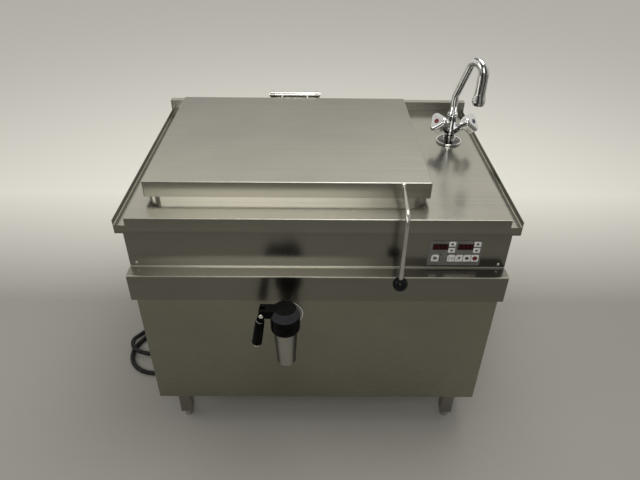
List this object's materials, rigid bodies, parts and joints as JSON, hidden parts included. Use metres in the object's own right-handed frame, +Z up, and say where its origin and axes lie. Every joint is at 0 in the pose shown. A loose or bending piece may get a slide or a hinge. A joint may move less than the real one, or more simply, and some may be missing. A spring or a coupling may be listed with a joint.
{
  "type": "bratt pan",
  "caption": "Fixed rectangular electric bratt pan in a steel worktop cabinet, with a hinged lid and lever, a two-handle mixer tap and a front draw-off valve.",
  "frame": {"origin": "middle of the object's outline on the floor, without the mains lead and its plug", "axes": "+X to the right as seen from the front, +Y to the back, +Z up"},
  "size_m": [1.3943, 1.1583, 1.2062],
  "materials": {
    "brushed_steel": "brushed stainless sheet",
    "inner_steel": "dull steel",
    "bright_steel": "polished stainless",
    "aluminium_plate": "machined",
    "chrome": "polished chrome",
    "wool": "matt fibre",
    "silicone": "matt",
    "black_plastic": "semi-gloss",
    "black_rubber": "satin",
    "keypad_plate": "satin film",
    "tinted_window": "dark red tinted",
    "circuit_board": "lacquered board",
    "key_plastic": "matt"
  },
  "bodies": {
    "base": {"worktop": "brushed_steel", "front_ledge": "brushed_steel", "lower_front_panel": "brushed_steel", "left_side_panel": "brushed_steel", "right_side_panel": "brushed_steel", "rear_panel": "brushed_steel", "base_plate": "brushed_steel", "base_frame": "brushed_steel", "frame_uprights": "brushed_steel", "pan_vessel": "brushed_steel", "pan_strainer": "brushed_steel", "drain_pipe": "brushed_steel", "drain_valve_body": "brushed_steel", "hinge_brackets": "brushed_steel", "control_box": "brushed_steel", "heating_elements": "inner_steel", "element_clamp": "inner_steel", "hinge_spring": "inner_steel", "switchgear": "inner_steel", "hinge_shaft": "bright_steel", "drain_rosette": "bright_steel", "panel_screws": "bright_steel", "levelling_feet": "bright_steel", "pan_bottom_plate": "aluminium_plate", "pan_insulation": "wool", "mixer_flange": "chrome", "mixer_body": "chrome", "spout_nut": "chrome", "hot_supply_pipe": "chrome", "cold_supply_pipe": "chrome", "cable_gland": "black_plastic", "mains_cable": "black_rubber", "mains_plug": "black_rubber", "keypad_panel": "keypad_plate", "display_windows": "tinted_window", "control_board": "circuit_board"},
    "lid": {"lid_shell": "brushed_steel", "lid_inner_tray": "brushed_steel", "lid_seal": "silicone", "lid_hinge_barrel": "bright_steel", "lever_escutcheon": "bright_steel", "lever_rod": "brushed_steel", "lever_ball": "black_plastic"},
    "spout": {"mixer_spout": "chrome", "spout_aerator": "chrome"},
    "hot_knob_body": {"hot_knob": "chrome"},
    "cold_knob_body": {"cold_knob": "chrome"},
    "drain_plug_body": {"drain_plug": "inner_steel", "drain_cap": "black_plastic", "grip_pin": "bright_steel"},
    "drain_grip_body": {"drain_grip": "black_plastic"},
    "key_up_left_body": {"key_up_left": "key_plastic"},
    "key_down_left_body": {"key_down_left": "key_plastic"},
    "key_up_right_body": {"key_up_right": "key_plastic"},
    "key_down_right_body": {"key_down_right": "key_plastic"},
    "key_timer_body": {"key_timer": "key_plastic"},
    "key_level_body": {"key_level": "key_plastic"},
    "key_arrow_body": {"key_arrow": "key_plastic"},
    "key_rinse_body": {"key_rinse": "key_plastic"},
    "key_on_off_body": {"key_on_off": "key_plastic"}
  },
  "joints": [
    {"name": "lid_hinge", "type": "hinge", "parent": "base", "child": "lid", "pos_m": [-0.093, 0.467, 0.952], "axis": [-1, 0, 0], "range_deg": [0, 80]},
    {"name": "spout_swivel", "type": "hinge", "parent": "base", "child": "spout", "pos_m": [0.48, 0.202, 0.99], "axis": [0, 0, 1], "continuous": true},
    {"name": "hot_knob_turn", "type": "hinge", "parent": "base", "child": "hot_knob_body", "pos_m": [0.48, 0.202, 0.918], "axis": [-0.6302, -0.4801, 0.6102], "range_deg": [0, 180]},
    {"name": "cold_knob_turn", "type": "hinge", "parent": "base", "child": "cold_knob_body", "pos_m": [0.48, 0.202, 0.918], "axis": [0.6302, -0.4801, 0.6102], "range_deg": [0, 180]},
    {"name": "drain_plug_turn", "type": "hinge", "parent": "base", "child": "drain_plug_body", "pos_m": [-0.096, -0.478, 0.559], "axis": [0, 0, 1], "range_deg": [0, 90]},
    {"name": "drain_grip_fold", "type": "hinge", "parent": "drain_plug_body", "child": "drain_grip_body", "pos_m": [-0.165, -0.478, 0.654], "axis": [0, 1, 0], "range_deg": [0, 80]},
    {"name": "key_up_left_press", "type": "slide", "parent": "base", "child": "key_up_left_body", "axis": [0, 1, 0], "range_m": [0, 0.0005], "stiffness_N_per_m": 1500, "springref_m": -0.0005},
    {"name": "key_down_left_press", "type": "slide", "parent": "base", "child": "key_down_left_body", "axis": [0, 1, 0], "range_m": [0, 0.0005], "stiffness_N_per_m": 1500, "springref_m": -0.0005},
    {"name": "key_up_right_press", "type": "slide", "parent": "base", "child": "key_up_right_body", "axis": [0, 1, 0], "range_m": [0, 0.0005], "stiffness_N_per_m": 1500, "springref_m": -0.0005},
    {"name": "key_down_right_press", "type": "slide", "parent": "base", "child": "key_down_right_body", "axis": [0, 1, 0], "range_m": [0, 0.0005], "stiffness_N_per_m": 1500, "springref_m": -0.0005},
    {"name": "key_timer_press", "type": "slide", "parent": "base", "child": "key_timer_body", "axis": [0, 1, 0], "range_m": [0, 0.0005], "stiffness_N_per_m": 1500, "springref_m": -0.0005},
    {"name": "key_level_press", "type": "slide", "parent": "base", "child": "key_level_body", "axis": [0, 1, 0], "range_m": [0, 0.0005], "stiffness_N_per_m": 1500, "springref_m": -0.0005},
    {"name": "key_arrow_press", "type": "slide", "parent": "base", "child": "key_arrow_body", "axis": [0, 1, 0], "range_m": [0, 0.0005], "stiffness_N_per_m": 1500, "springref_m": -0.0005},
    {"name": "key_rinse_press", "type": "slide", "parent": "base", "child": "key_rinse_body", "axis": [0, 1, 0], "range_m": [0, 0.0005], "stiffness_N_per_m": 1500, "springref_m": -0.0005},
    {"name": "key_on_off_press", "type": "slide", "parent": "base", "child": "key_on_off_body", "axis": [0, 1, 0], "range_m": [0, 0.0005], "stiffness_N_per_m": 1500, "springref_m": -0.0005}
  ]
}
